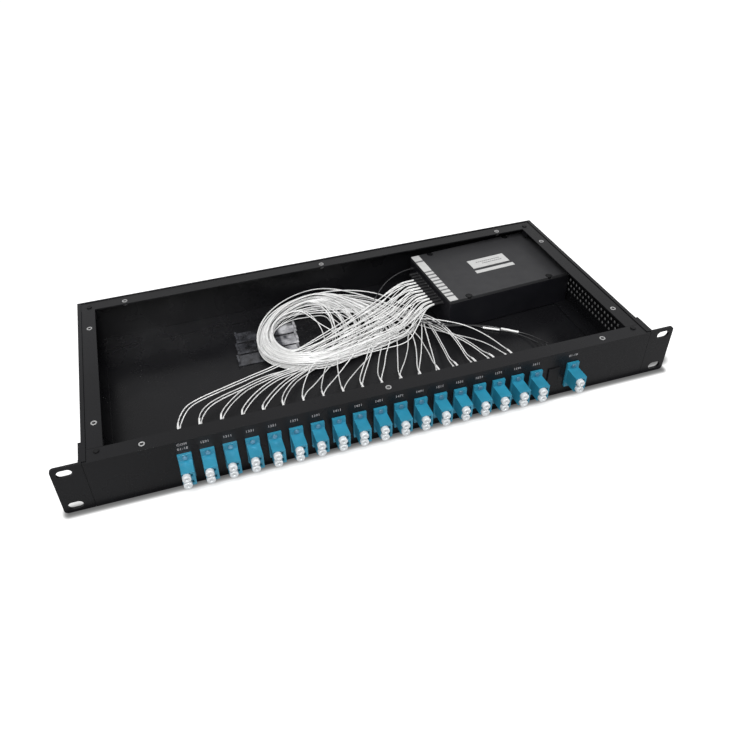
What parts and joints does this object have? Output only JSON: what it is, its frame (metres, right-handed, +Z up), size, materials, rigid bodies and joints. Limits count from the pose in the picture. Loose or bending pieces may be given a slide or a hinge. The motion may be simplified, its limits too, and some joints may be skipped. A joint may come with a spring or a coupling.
{
  "type": "wavelength division multiplexer module",
  "caption": "Black rack-mount fibre multiplexer, one rack unit tall, cover off: a row of blue duplex adapters in front, a coil of white fibre and a flat black splitter box inside.",
  "frame": {"origin": "middle of the chassis underside, halfway across and halfway deep", "axes": "+X along the front panel to the right seen from the front, +Y from the front panel to the back wall, +Z up"},
  "size_m": [0.4826, 0.2159, 0.0442],
  "materials": {
    "black_powder_coat": "semi-gloss black powder coat on steel sheet",
    "black_screw": "black oxide screws and rivets",
    "bright_nut": "bright zinc-plated clinch nuts",
    "black_plastic": "moulded black plastic",
    "dark_blue_screw": "small dark screws",
    "black_boot": "soft black strain relief boots",
    "black_anodised_case": "fine satin black coating",
    "white_label": "white printed polyester labels",
    "glass_chip": "silica waveguide chip on its carrier",
    "clear_clip": "grey translucent adhesive clips",
    "white_fibre": "white 0.9 mm buffered fibre",
    "dark_fibre": "bare dark fibre",
    "white_sleeve": "white splice protection sleeves",
    "blue_adapter": "bright blue moulded adapter housing",
    "white_cap": "white soft plastic dust cap"
  },
  "bodies": {
    "chassis": {"chassis_tray": "black_powder_coat", "front_panel": "black_powder_coat", "ear_left": "black_powder_coat", "ear_right": "black_powder_coat", "ear_screws": "black_screw", "cover_nuts": "bright_nut", "corner_rivets": "black_screw", "blank_plug": "black_plastic", "adapter_screws": "dark_blue_screw", "rear_plugs": "black_boot", "module_base": "black_anodised_case", "module_lid": "black_anodised_case", "module_screws": "black_screw", "module_labels": "white_label", "waveguide_chip": "glass_chip", "fanout_boots": "black_boot", "cable_clips": "clear_clip", "fibre_coil": "white_fibre", "fibre_leads": "white_fibre", "fibre_tails": "white_fibre", "dark_fibres": "dark_fibre", "splice_sleeves": "white_sleeve", "adapter_01": "blue_adapter", "adapter_02": "blue_adapter", "adapter_03": "blue_adapter", "adapter_04": "blue_adapter", "adapter_05": "blue_adapter", "adapter_06": "blue_adapter", "adapter_07": "blue_adapter", "adapter_08": "blue_adapter", "adapter_09": "blue_adapter", "adapter_10": "blue_adapter", "adapter_11": "blue_adapter", "adapter_12": "blue_adapter", "adapter_13": "blue_adapter", "adapter_14": "blue_adapter", "adapter_15": "blue_adapter", "adapter_16": "blue_adapter", "adapter_17": "blue_adapter", "adapter_18": "blue_adapter", "adapter_19": "blue_adapter"},
    "dust_cap_01": {"dust_cap_01": "white_cap"},
    "dust_cap_02": {"dust_cap_02": "white_cap"},
    "dust_cap_03": {"dust_cap_03": "white_cap"},
    "dust_cap_04": {"dust_cap_04": "white_cap"},
    "dust_cap_05": {"dust_cap_05": "white_cap"},
    "dust_cap_06": {"dust_cap_06": "white_cap"},
    "dust_cap_07": {"dust_cap_07": "white_cap"},
    "dust_cap_08": {"dust_cap_08": "white_cap"},
    "dust_cap_09": {"dust_cap_09": "white_cap"},
    "dust_cap_10": {"dust_cap_10": "white_cap"},
    "dust_cap_11": {"dust_cap_11": "white_cap"},
    "dust_cap_12": {"dust_cap_12": "white_cap"},
    "dust_cap_13": {"dust_cap_13": "white_cap"},
    "dust_cap_14": {"dust_cap_14": "white_cap"},
    "dust_cap_15": {"dust_cap_15": "white_cap"},
    "dust_cap_16": {"dust_cap_16": "white_cap"},
    "dust_cap_17": {"dust_cap_17": "white_cap"},
    "dust_cap_18": {"dust_cap_18": "white_cap"},
    "dust_cap_19": {"dust_cap_19": "white_cap"}
  },
  "joints": [
    {"name": "pull_dust_cap_01", "type": "slide", "parent": "chassis", "child": "dust_cap_01", "axis": [0, -1, 0], "range_m": [0, 0.02]},
    {"name": "pull_dust_cap_02", "type": "slide", "parent": "chassis", "child": "dust_cap_02", "axis": [0, -1, 0], "range_m": [0, 0.02]},
    {"name": "pull_dust_cap_03", "type": "slide", "parent": "chassis", "child": "dust_cap_03", "axis": [0, -1, 0], "range_m": [0, 0.02]},
    {"name": "pull_dust_cap_04", "type": "slide", "parent": "chassis", "child": "dust_cap_04", "axis": [0, -1, 0], "range_m": [0, 0.02]},
    {"name": "pull_dust_cap_05", "type": "slide", "parent": "chassis", "child": "dust_cap_05", "axis": [0, -1, 0], "range_m": [0, 0.02]},
    {"name": "pull_dust_cap_06", "type": "slide", "parent": "chassis", "child": "dust_cap_06", "axis": [0, -1, 0], "range_m": [0, 0.02]},
    {"name": "pull_dust_cap_07", "type": "slide", "parent": "chassis", "child": "dust_cap_07", "axis": [0, -1, 0], "range_m": [0, 0.02]},
    {"name": "pull_dust_cap_08", "type": "slide", "parent": "chassis", "child": "dust_cap_08", "axis": [0, -1, 0], "range_m": [0, 0.02]},
    {"name": "pull_dust_cap_09", "type": "slide", "parent": "chassis", "child": "dust_cap_09", "axis": [0, -1, 0], "range_m": [0, 0.02]},
    {"name": "pull_dust_cap_10", "type": "slide", "parent": "chassis", "child": "dust_cap_10", "axis": [0, -1, 0], "range_m": [0, 0.02]},
    {"name": "pull_dust_cap_11", "type": "slide", "parent": "chassis", "child": "dust_cap_11", "axis": [0, -1, 0], "range_m": [0, 0.02]},
    {"name": "pull_dust_cap_12", "type": "slide", "parent": "chassis", "child": "dust_cap_12", "axis": [0, -1, 0], "range_m": [0, 0.02]},
    {"name": "pull_dust_cap_13", "type": "slide", "parent": "chassis", "child": "dust_cap_13", "axis": [0, -1, 0], "range_m": [0, 0.02]},
    {"name": "pull_dust_cap_14", "type": "slide", "parent": "chassis", "child": "dust_cap_14", "axis": [0, -1, 0], "range_m": [0, 0.02]},
    {"name": "pull_dust_cap_15", "type": "slide", "parent": "chassis", "child": "dust_cap_15", "axis": [0, -1, 0], "range_m": [0, 0.02]},
    {"name": "pull_dust_cap_16", "type": "slide", "parent": "chassis", "child": "dust_cap_16", "axis": [0, -1, 0], "range_m": [0, 0.02]},
    {"name": "pull_dust_cap_17", "type": "slide", "parent": "chassis", "child": "dust_cap_17", "axis": [0, -1, 0], "range_m": [0, 0.02]},
    {"name": "pull_dust_cap_18", "type": "slide", "parent": "chassis", "child": "dust_cap_18", "axis": [0, -1, 0], "range_m": [0, 0.02]},
    {"name": "pull_dust_cap_19", "type": "slide", "parent": "chassis", "child": "dust_cap_19", "axis": [0, -1, 0], "range_m": [0, 0.02]}
  ]
}
